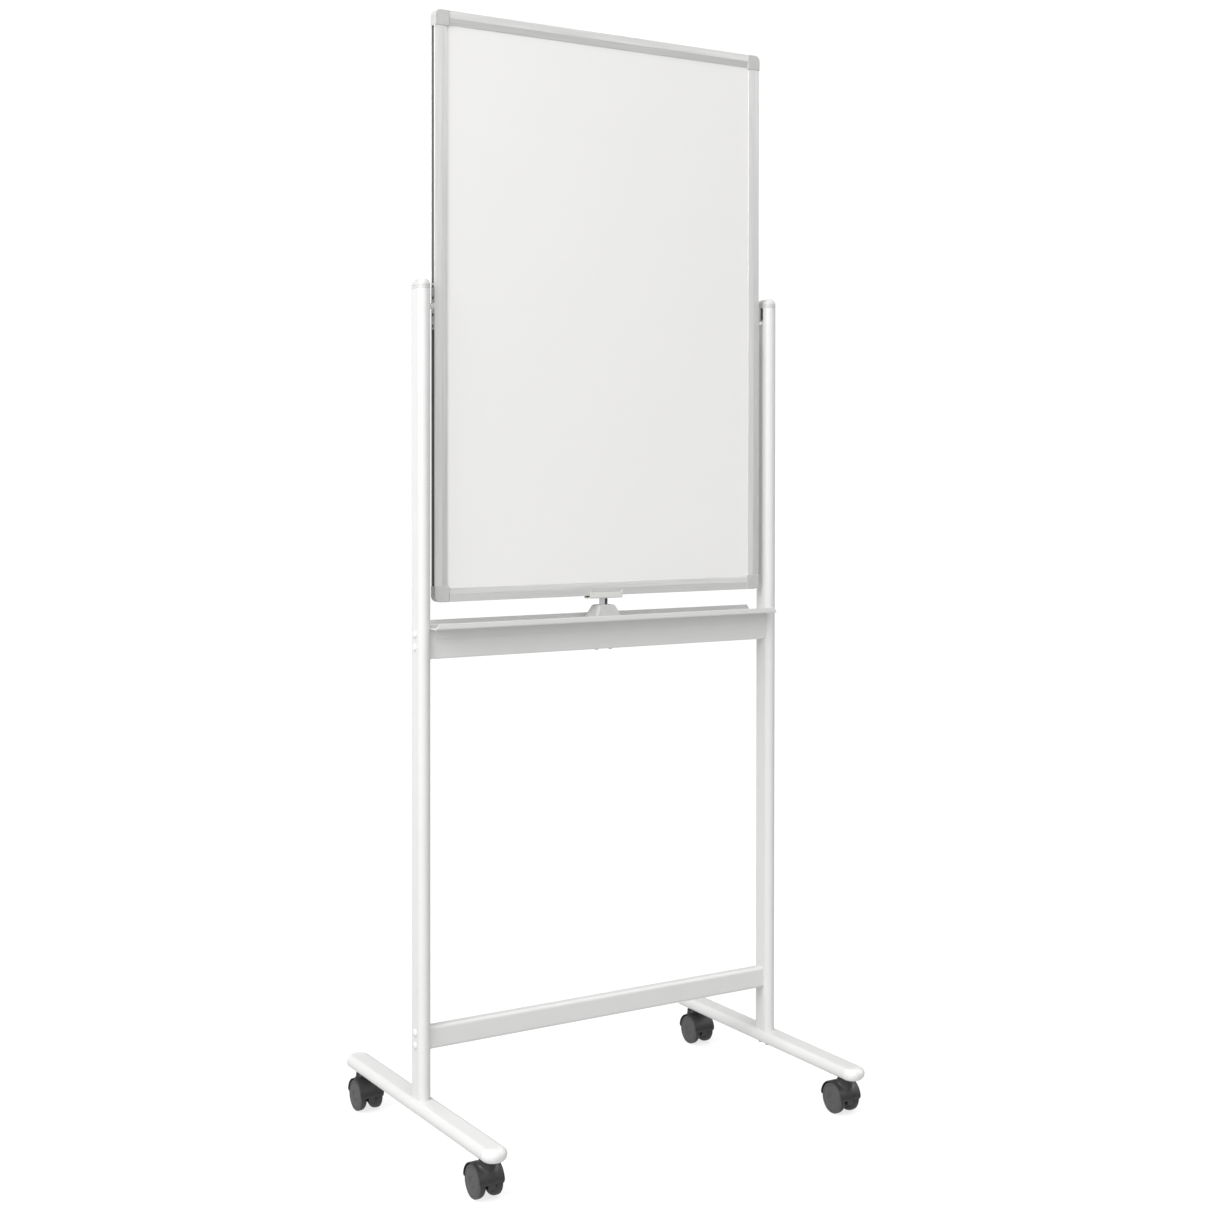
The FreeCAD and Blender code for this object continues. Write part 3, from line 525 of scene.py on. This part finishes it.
# ---- board --------------------------------------------------------------------------
BOARD_MID_Z = JOINT_AT["board_flip"][2]
PIVOT_SCREWS = [dz * MM for dz in (-30.5, -13.0, 13.0, 30.5)]    # from the flip axis
SCREW_SEAT_R = 2.85              # in millimetres, like the turned profiles


def make_frame():
    half_panel = -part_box("front_writing_sheet")[0][1] + 0.05 * MM
    low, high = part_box("left_frame_rail")
    wide, ridge = high[0] - low[0], (high[1] - low[1]) / 2
    edge, lip, groove, groove_deep = 6.5 * MM, 6 * MM, 4.6 * MM, 3 * MM
    half = [(groove_deep, groove), (0, groove), (0, edge), (12 * MM, ridge), (wide, lip),
            (wide, half_panel), (8 * MM, half_panel)]
    radii = [0.4 * MM, 0.4 * MM, 1.0 * MM, 4 * MM, 0.8 * MM, 0.2 * MM, 0.3 * MM]
    outline = fillet(half + [(u, -v) for u, v in reversed(half)], radii + radii[::-1])
    left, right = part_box("left_frame_rail")[0][0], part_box("right_frame_rail")[1][0]
    bottom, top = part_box("bottom_frame_rail")[0][2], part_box("top_frame_rail")[1][2]
    places = {"left": (2, "aluminium_upright", lambda t, u, v: (left + u, v, t), lambda p: p.x - left),
              "right": (2, "aluminium_upright", lambda t, u, v: (right - u, v, t), lambda p: right - p.x),
              "top": (0, "frame_aluminium", lambda t, u, v: (t, v, top - u), lambda p: top - p.z),
              "bottom": (0, "frame_aluminium", lambda t, u, v: (t, v, bottom + u), lambda p: p.z - bottom)}
    for side, (axis, material, place, depth) in places.items():
        node = side + "_frame_rail"
        start, end = [corner[axis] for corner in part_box(node)]
        made = Shape().extrude(outline, start, end, place).piece(
            node + "_drawn", "board", material, [node])
        # the groove round the board's edge gets a dark material inside: painted shade for the shadow deep in the
        # channel
        made.data.materials.append(MATERIALS["groove_painted_shade"])
        for face in made.data.polygons:
            if abs(face.center.y) < groove + 0.1 * MM and depth(face.center) > 0.5 * MM:
                face.material_index = 1


def make_corner_caps():
    for level, sz in (("top", 1), ("bottom", -1)):
        for side, sx in LEFT_RIGHT:
            node = "%s_%s_corner_cap" % (level, side)
            low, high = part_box(node)
            centre, size = (low + high) / 2, high[0] - low[0]
            # the outer corner is large, the one at the writing surface has a short chamfer
            radii = [1.0 * MM] * 4
            radii[{(1, 1): 0, (-1, 1): 1, (-1, -1): 2, (1, -1): 3}[sx, sz]] = 9.5 * MM
            radii[{(1, 1): 2, (-1, 1): 3, (-1, -1): 0, (1, -1): 1}[sx, sz]] = 3.0 * MM
            rings = [[(centre[0] + u, y, centre[2] + v) for u, v in
                      oval(size - 2 * inset, size - 2 * inset, [r - inset for r in radii])]
                     for y, inset in soft_ends(low[1], high[1], 1.6 * MM, 6)]
            Shape().loft(rings).piece(node + "_moulded", "board", "grey_plastic", [node])


def make_pivots():
    screw_cut, screws = Shape(), Shape()
    for side, s in LEFT_RIGHT:
        low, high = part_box(side + "_pivot_plate")
        face = high[0] if s > 0 else low[0]
        heads = [(face, 0, BOARD_MID_Z + dz) for dz in PIVOT_SCREWS]
        seats = Shape()
        for at in heads:
            seats.lathe(in_mm([(1, 0), (1, SCREW_SEAT_R), (-1.3, SCREW_SEAT_R), (-1.3, 0)]),
                        at, (s, 0, 0), 32)
        Shape().block(low, high, 4 * MM, 0.35 * MM, axis=0).piece(
            side + "_pivot_plate_pressed", "board", "plate_steel", [side + "_pivot_plate"], cut=seats)

        # the pin turns from a shouldered root to a collar and a chamfered end
        low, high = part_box(side + "_pivot_pin")
        tip = high[0] if s > 0 else low[0]
        profile = in_mm([(-3.0, 0), (-3.0, 3.0), (-0.2, 3.0), (0.0, 6.4), (0.8, 6.2), (1.3, 5.2),
                         (1.5, 4.0), (4.7, 4.0), (4.9, 3.6), (5.7, 3.6), (5.9, 4.0), (12.1, 4.0),
                         (12.1, 5.6), (12.5, 6.0), (13.9, 6.0), (14.3, 5.6), (14.3, 4.0)])
        end = abs(tip - face)
        profile += [(end - 0.6 * MM, 4 * MM), (end, 3.4 * MM), (end, 0)]
        Shape().lathe(profile, (face, 0, BOARD_MID_Z), (s, 0, 0)).piece(
            side + "_pivot_pin_turned", "board", "pin_steel", [side + "_pivot_pin"])

        for at in heads:
            screws.lathe(in_mm([(-6.5, 0), (-5.5, 1.2), (-2.1, 1.4), (-0.9, 2.75), (-0.45, 2.75),
                                (-0.1, 2.2), (0.0, 1.2), (0.0, 0)]), at, (s, 0, 0), 32)
            cross_recess(screw_cut, face, lambda t, u, v, z=at[2]: (t, u, z + v), -s)
    screws.piece("pivot_plate_screws_cross_head", "board", "black_screw", ["pivot_plate_screws"],
                 cut=screw_cut)


# ---- stand --------------------------------------------------------------------------
def make_uprights():
    for side, s in LEFT_RIGHT:
        node = side + "_upright_tube"
        low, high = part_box(node)
        x, short, long = (low[0] + high[0]) / 2, high[0] - low[0], high[1] - low[1]

        def section(inset, z):
            return [(x + u, v, z) for u, v in oval(short - 2 * inset, long - 2 * inset, short / 2, 14)]

        # the slot for the pivot pin is open at the top, on the board's side
        slot = 4.3 * MM
        outline = [(slot * cos(t), BOARD_MID_Z + slot * sin(t))
                   for t in (-pi * k / 20 for k in range(21))]
        outline += [(-slot, high[2] + slot), (slot, high[2] + slot)]
        gap = Shape().extrude(outline, x, x - s * short, lambda t, u, v: (t, u, v))
        open_tube(section, low[2], high[2]).piece(
            node + "_drawn", "stand", "white_powder_coat", [node], cut=gap)

        # domed cap: a fine groove where it meets the tube and another just above
        seam, top = high[2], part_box(side + "_upright_cap")[1][2]
        dome = short / 2 - 0.6 * MM
        steps = [(0, 0.6), (0.45, 0.6), (0.6, 0), (4.1, 0), (4.2, 0.5), (4.7, 0.5), (4.8, 0)]
        rings = [section(inset * MM, seam + rise * MM) for rise, inset in steps]
        rings += [section(dome * (1 - cos(t)), top - dome + dome * sin(t)) for t in quarter_turns(14)]
        Shape().loft(rings).piece(side + "_upright_cap_domed", "stand", "cap_plastic",
                                  [side + "_upright_cap"])


def make_feet():
    bolts = Shape()
    for side, _ in LEFT_RIGHT:
        node = side + "_foot_tube"
        low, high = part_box(node)
        x, z = (low[0] + high[0]) / 2, (low[2] + high[2]) / 2
        wide, tall = high[0] - low[0], high[2] - low[2]

        def section(inset, y):
            return [(x + u, y, z + v) for u, v in oval(wide - 2 * inset, tall - 2 * inset, tall / 2, 14)]
        open_tube(section, low[1], high[1]).piece(node + "_drawn", "stand", "white_powder_coat", [node])

        # each foot cap is the tube's section swept half a turn round, after a fine seam
        for end, dy in FRONT_BACK:
            cap = "%s_%s_foot_cap" % (end, side)
            seam = high[1] if dy > 0 else low[1]
            lead = 0.5 * MM
            reach = 1 - lead / (wide / 2)
            rings = [section(0.5 * MM, seam), section(0.08 * MM, seam + dy * 0.3 * MM)]
            rings += [[(x + u * cos(t), seam + dy * (lead + abs(u) * reach * sin(t)), z + v)
                       for u, v in oval(wide, tall, tall / 2, 14)] for t in quarter_turns(20)]
            Shape().loft(rings, caps=(True, False)).piece(
                cap + "_moulded", "stand", "white_plastic", [cap])

        # hexagon bolts with a washer face under the upright
        bolt_y, corner_r = 10 * MM, 5.77 * MM
        for dy in (-bolt_y, bolt_y):
            at = Vector((x, dy, low[2]))
            bolts.lathe(in_mm([(0, 0), (0, 6.7), (0.3, 7), (1.3, 7), (1.6, 6.7), (1.6, 0)]),
                        at, (0, 0, -1), 40)
            corners = [(corner_r * cos(t), corner_r * sin(t)) for t in circle_turns(6)]
            outline = fillet(corners, [0.5 * MM] * 6, 3)
            bolts.loft([[at + Vector((u * k, v * k, -drop * MM)) for u, v in outline]
                        for drop, k in ((1.6, 1), (5.3, 1), (6.1, 0.86))])
    bolts.piece("foot_bolts_hexagon", "stand", "zinc_steel", ["foot_bolts"])


def make_crossbars():
    for node, radius in (("lower_crossbar", 5.5 * MM), ("tray_crossbar", 3 * MM)):
        low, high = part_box(node)
        z, deep, tall = (low[2] + high[2]) / 2, high[1] - low[1], high[2] - low[2]

        def section(inset, x):
            return [(x, u, z + v) for u, v in oval(deep - 2 * inset, tall - 2 * inset, radius - inset, 8)]
        open_tube(section, low[0], high[0]).piece(node + "_drawn", "stand", "white_powder_coat", [node])

    # screw covers: shallow domes on a thin rim
    covers = Shape()
    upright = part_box("right_upright_tube")[1][0]
    rise, rim = (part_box("screw_covers")[1][0] - upright) / MM, 0.6
    profile = [(0, 0), (0, 5.65), (0.2, 5.75), (rim, 5.75)]
    profile += [(rim + (rise - rim) * cos(t), 5.7 * sin(t)) for t in reversed(quarter_turns(12))]
    for _, s in LEFT_RIGHT:
        for z in cover_heights():
            covers.lathe(in_mm(profile), (s * upright, 0, z), (s, 0, 0), 40)
    covers.piece("screw_covers_domed", "stand", "white_plastic", ["screw_covers"])


def cover_heights():
    """The heights of the screws, read from the gaps between the covers' vertices."""
    heights = sorted({round(v.co.z, 4) for v in frame["nodes"]["screw_covers"].data.vertices})
    groups = []
    for z in heights:
        if groups and z - groups[-1][-1] < 5 * MM:
            groups[-1].append(z)
        else:
            groups.append([z])
    return [(group[0] + group[-1]) / 2 for group in groups]


# ---- pen tray and board lock --------------------------------------------------------
def make_tray():
    low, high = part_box("pen_tray")
    sheet = 1.5 * MM
    half, top, skirt_end = high[1], high[2], low[2]
    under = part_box("tray_crossbar")[1][2]
    floor = under + sheet
    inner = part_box("tray_crossbar")[1][1] + 0.1 * MM
    outer = inner + sheet
    side = [(outer, skirt_end), (outer, under), (half, under), (half, top), (half - sheet, top),
            (half - sheet, floor)]
    outline = [(inner, under), (inner, skirt_end)] + side
    radii = [0.3, 0.6, 0.6, 0.9, 2.6, 0.65, 0.65, 1.3]
    outline += [(-u, v) for u, v in reversed(outline)]
    radii = [r * MM for r in radii + radii[::-1]]
    tray = Shape().extrude(fillet(outline, radii), low[0], high[0], lambda t, u, v: (t, u, v))

    # at each end the lips and skirts are cut back at a slant and the floor is notched for the upright
    ends = Shape()
    tip, skirt_x = high[0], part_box("tray_crossbar")[1][0] - 0.5 * MM
    past, notch = tip + 5 * MM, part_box("left_upright_tube")[1][1] + 0.5 * MM
    for s in (-1, 1):
        lip = [(tip, floor), (tip - 5 * MM, top), (tip - 5 * MM, top + 5 * MM), (past, top + 5 * MM),
               (past, floor)]
        skirt = [(skirt_x - 3 * MM, under - 0.6 * MM), (skirt_x - 10 * MM, skirt_end),
                 (skirt_x - 10 * MM, skirt_end - 5 * MM), (past, skirt_end - 5 * MM),
                 (past, under - 0.6 * MM)]
        for corners in (lip, skirt):
            ends.extrude(corners, -60 * MM, 60 * MM, lambda t, u, v, s=s: (s * u, t, v))
        room = [(skirt_x, under - 0.3 * MM), (past + 1 * MM, under - 0.3 * MM),
                (past + 1 * MM, floor + 3 * MM), (skirt_x, floor + 3 * MM)]
        ends.extrude(room, -notch, notch, lambda t, u, v, s=s: (s * u, t, v))
    tray.piece("pen_tray_folded", "stand", "white_powder_coat", ["pen_tray"], cut=ends)

    # pan-head screws: two up into the boss, four in the back skirt
    screws, recesses = Shape(), Shape()
    bar_low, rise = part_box("tray_crossbar")[0][2], 2.2
    head = [(0, 0), (0, 3.5), (0.3, 3.6), (1.0, 3.5), (1.7, 2.9), (rise, 1.8), (rise, 0)]
    for x in (-13 * MM, 13 * MM):
        screws.lathe(in_mm(head), (x, 0, bar_low), (0, 0, -1), 32)
        cross_recess(recesses, bar_low - rise * MM, lambda t, u, v, x=x: (x + u, v, t), 1)
    shorter, narrower, back_rise = 0.82, 0.94, 1.8 * MM
    back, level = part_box("tray_and_lock_screws")[1][1] - back_rise, under - 8.75 * MM
    for x in (-0.25, -0.09, 0.09, 0.25):
        screws.lathe(in_mm([(a * shorter, r * narrower) for a, r in head]), (x, back, level),
                     (0, 1, 0), 32)
        cross_recess(recesses, back + back_rise, lambda t, u, v, x=x: (x + u, t, level + v), -1)
    screws.piece("tray_screws_pan_head", "stand", "zinc_steel", ["tray_and_lock_screws"], cut=recesses)


def make_lock():
    # boss: tapered block with a soft top edge, bored for the stem and hollow for the spring
    low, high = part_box("lock_boss")
    foot, top, corner, edge = (54 * MM, 42 * MM), (30 * MM, 26 * MM), 4 * MM, 1.6 * MM
    bore, cavity, ceiling = 7.1 * MM, 8.8 * MM, high[2] - 3.5 * MM

    def slice_at(z, inset=0.0):
        share = (z - low[2]) / (high[2] - low[2])
        w, h = [a + (b - a) * share - 2 * inset for a, b in zip(foot, top)]
        return [(u, v, z) for u, v in oval(w, h, corner, 8)]

    def round_at(z, radius):
        return [(u, v, z) for u, v in circle_like(oval(*foot, corner, 8), radius)]
    rings = [slice_at(low[2])]
    rings += [slice_at(high[2] - edge * (1 - sin(t)), edge * (1 - cos(t))) for t in quarter_turns(6)]
    rings += [round_at(high[2], bore + 0.5 * MM), round_at(high[2] - 0.5 * MM, bore),
              round_at(ceiling, bore), round_at(ceiling, cavity), round_at(low[2], cavity)]
    Shape().loft(rings, closed=True).piece("lock_boss_moulded", "stand", "boss_plastic", ["lock_boss"])

    # catch: channel with rounded folds, the flanges' corners rounded off
    low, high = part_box("lock_catch")
    wall, floor = 1.8 * MM, 2.0 * MM
    half, inner = high[1], high[1] - wall
    outline = [(-half, high[2]), (-half, low[2]), (half, low[2]), (half, high[2]), (inner, high[2]),
               (inner, low[2] + floor), (-inner, low[2] + floor), (-inner, high[2])]
    radii = [r * MM for r in (0.5, 2.4, 2.4, 0.5, 0.5, 0.6, 0.6, 0.5)]
    corner, fixed = 3.0 * MM, low[2] + 3 * MM
    rings = []
    for s in (-1, 1):
        for t in quarter_turns(6)[::-s]:
            x = s * (high[0] - corner * (1 - sin(t)))
            keep = 1 - corner * (1 - cos(pi / 2 - t)) / (high[2] - fixed)
            rings.append([(x, u, v if v < fixed else fixed + (v - fixed) * keep)
                          for u, v in fillet(outline, radii)])
    rings = sorted(rings, key=lambda ring: ring[0][0])
    Shape().loft(rings).piece("lock_catch_folded", "lock", "catch_paint", ["lock_catch"])

    # stem: plunger with a flange under the boss's ceiling and a rivet in the catch
    stem_low, stem_high = [corner[2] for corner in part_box("lock_stem")]
    flange = ceiling - 0.3 * MM
    stages = ((stem_low, ((0, 0), (0, 2.6), (0.4, 3))),
              (flange, ((-2, 3), (-2, 8.2), (-1.8, 8.4), (-0.2, 8.4), (0, 8.2), (0, 7))),
              (low[2], ((-1.2, 7), (-0.9, 6.6), (-0.5, 6.6), (-0.3, 7), (0, 7), (0, 4))),
              (low[2] + floor, ((0, 4), (0, 5))),
              (stem_high, ((-0.3, 4.9), (0, 4.2), (0, 0))))
    profile = [(at + along, radius) for at, points in stages for along, radius in in_mm(points)]
    Shape().lathe(profile, (0, 0, 0), (0, 0, 1), 64).piece(
        "lock_stem_turned", "lock", "chrome_stem", ["lock_stem"])


def make_spring():
    """The return spring: a coil of wire from its foot on the tray to its top, baked in place and attached to no
    body.
    """
    low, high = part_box("lock_spring")
    wire, coils, steps = 0.5 * MM, 4, 28
    radius, up = high[0] - wire, Vector((0, 0, 1))
    foot, head = low[2] + wire, high[2] - wire
    rings = []
    for k in range(coils * steps + 1):
        turn = 2 * pi * k / steps
        out = Vector((cos(turn), sin(turn), 0))
        centre = out * radius + up * (foot + (head - foot) * k / (coils * steps))
        rings.append([centre + (out * cos(t) + up * sin(t)) * wire for t in circle_turns(12)])
    made = Shape().loft(rings).piece("lock_spring_coiled", None, "spring_steel", ["lock_spring"])
    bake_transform(made)


# ---- casters ------------------------------------------------------------------------
# (along, radius) from the bore, out at the inner side, over the tread, to the outer disc and hub cap
WHEEL_PROFILE = in_mm(((12.0, 0), (12.0, 3.1), (0, 3.1), (0, 7.0), (0.8, 7.6), (0.8, 20.0), (0.6, 20.6),
                       (0.9, 21.8), (1.8, 23.2), (3.2, 24.2), (5.0, 24.8), (7.0, 25.0), (11.0, 25.0),
                       (12.0, 24.7), (12.8, 24.0), (13.2, 23.0), (13.35, 22.2), (13.3, 21.5),
                       (13.0, 21.1), (12.6, 20.9), (12.5, 20.5), (12.7, 20.1), (13.0, 19.8),
                       (13.25, 14.0), (13.4, 9.0), (13.35, 8.6), (13.05, 8.4), (13.0, 8.1), (13.1, 7.8),
                       (13.5, 7.5), (13.5, 6.6), (13.35, 6.2), (13.0, 6.0), (12.9, 3.0), (12.95, 0)))
TREAD_AND_SHADE_WIDE = 11.2 * MM           # of the wheel's width, from its inner side, given the dark tread tone and painted shade


def make_casters():
    stems = Shape()
    for end, _ in FRONT_BACK:
        for side, s in LEFT_RIGHT:
            name = "%s_%s_" % (end, side)
            axle, swivel_y = middle(name + "caster_axle"), JOINT_AT[name + "swivel"][1]
            for which, outward in (("outer_wheel", s), ("inner_wheel", -s)):
                low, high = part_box(name + which)
                inner_face = low[0] if outward > 0 else high[0]
                wheel = Shape().lathe(WHEEL_PROFILE, (inner_face, axle[1], axle[2]), (outward, 0, 0), 72)
                made = wheel.piece(name + which + "_moulded", name + which, "wheel_plastic",
                                   [name + which])
                # the tread and the inner side get a blacker material: partly the tread's own darker tone, partly
                # painted shade for the shadow between the two wheels
                made.data.materials.append(MATERIALS["tread_tone_and_painted_shade"])
                for face in made.data.polygons:
                    if (face.center.x - inner_face) * outward < TREAD_AND_SHADE_WIDE:
                        face.material_index = 1
            make_hood(name, axle, swivel_y)
            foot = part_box("left_foot_tube")[0][2] / MM
            stems.lathe(in_mm([(38.4, 0), (38.4, 4), (58.8, 4), (58.8, 7.7), (59.1, 8), (foot - 0.3, 8),
                               (foot, 7.7), (foot, 4), (72, 4), (72, 0)]),
                        (axle[0], swivel_y, 0), (0, 0, 1), 40)
    stems.piece("caster_stems_turned", "stand", "zinc_steel", ["caster_stems"])


def make_hood(name, axle, swivel_y):
    """Fender over both wheels, a web between them and a swivel boss, joined into one."""
    node = name + "caster_hood"
    low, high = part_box(node)
    half = (high[0] - low[0]) / 2
    inner, outer, web, drop = 26 * MM, 27.6 * MM, 5.8 * MM, 8 * MM

    def spot(x, radius, turn):
        return (axle[0] + x, axle[1] + radius * cos(turn), axle[2] + radius * sin(turn))

    # fender section: a shell with a rounded rim, thinner and narrower at its two ends
    section = fillet([(-half, inner), (half, inner), (half, outer), (-half, outer)], [0.6 * MM] * 4, 4)
    taper_end, narrower, thinner = 0.22, 0.07, 0.55
    rings = []
    for turn in (pi * k / 48 for k in range(49)):
        taper = max(0, 1 - sin(turn) / taper_end) ** 2
        rings.append([spot(x * (1 - narrower * taper), inner + (r - inner) * (1 - thinner * taper), turn)
                      for x, r in section])
    fender = Shape().loft(rings)

    # web: a disc between the wheels, cut off level a little below the axle
    reach = inner + 0.5 * MM
    start = -atan2(drop, sqrt(reach ** 2 - drop ** 2))
    rings = []
    for x, inset in soft_ends(-web, web, 0.8 * MM, 3):
        arc = [spot(x, reach - inset, start + (pi - 2 * start) * k / 60) for k in range(61)]
        rings.append([(px, py, max(pz, axle[2] - drop + inset)) for px, py, pz in arc])
    web_disc = Shape().loft(rings)

    # swivel boss, with a fillet all round where it grows out of the fender
    top, stalk, flare, turns = high[2], 12 * MM, 5.5 * MM, circle_turns(56)

    def flat_ring(radius, z):
        return [(axle[0] + radius * cos(t), swivel_y + radius * sin(t), z) for t in turns]

    def fender_ring(radius, lift):
        return [(x, y, axle[2] + sqrt(outer ** 2 - (y - axle[1]) ** 2) + lift)
                for x, y, _ in flat_ring(radius, 0)]
    rings = [flat_ring(stalk, axle[2] + 10 * MM), fender_ring(stalk + flare, -1.2 * MM)]
    rings += [fender_ring(stalk + flare * (1 - sin(t)), flare * (1 - cos(t)))
              for t in quarter_turns(8)[:7]]
    rings += [flat_ring(radius, top + level)
              for level, radius in in_mm(((-1.5, 12), (-0.9, 11.8), (-0.3, 11.1), (0, 10.2)))]
    boss = solid("boss", Shape().loft(rings))

    # the wheels turn in the room on each side of the web
    room = Shape()
    for near, far in ((-half - 1 * MM, -web), (web, half + 1 * MM)):
        room.lathe([(near, 0), (near, inner), (far, inner), (far, 0)], axle, (1, 0, 0), 96)
    combine(boss, room, "DIFFERENCE")
    middle_part = solid("web", web_disc)
    combine(middle_part, gather(boss), "UNION")
    fender.piece(node + "_moulded", name + "swivel", "black_plastic", [node], add=gather(middle_part))


# ---- scene --------------------------------------------------------------------------
def finish_cad_nodes():
    """The CAD parts that stay: flat sheets, and what hides inside."""
    for node, made in frame["nodes"].items():
        made.data.materials.clear()
        made.data.materials.append(MATERIALS[SLOT_OF[node]])


def make_floor():
    shape = Shape()
    rings = [[(r * cos(t), r * sin(t), 0.0) for t in circle_turns(96)] for r in (0.5, 2, 6, 20, 60, 200)]
    shape.loft(rings, caps=(True, False))
    floor = solid("floor", shape)
    for face in floor.data.polygons:
        if face.normal.z < 0:
            face.flip()
    floor.data.materials.append(MATERIALS["floor"])
    # the floor only catches shadows: the studio's own light from below stands for its bounce
    floor.visible_diffuse = False
    floor.visible_glossy = False


make_camera()
make_light()
finish_cad_nodes()
make_frame()
make_corner_caps()
make_pivots()
make_uprights()
make_feet()
make_crossbars()
make_tray()
make_lock()
make_spring()
make_casters()
make_floor()
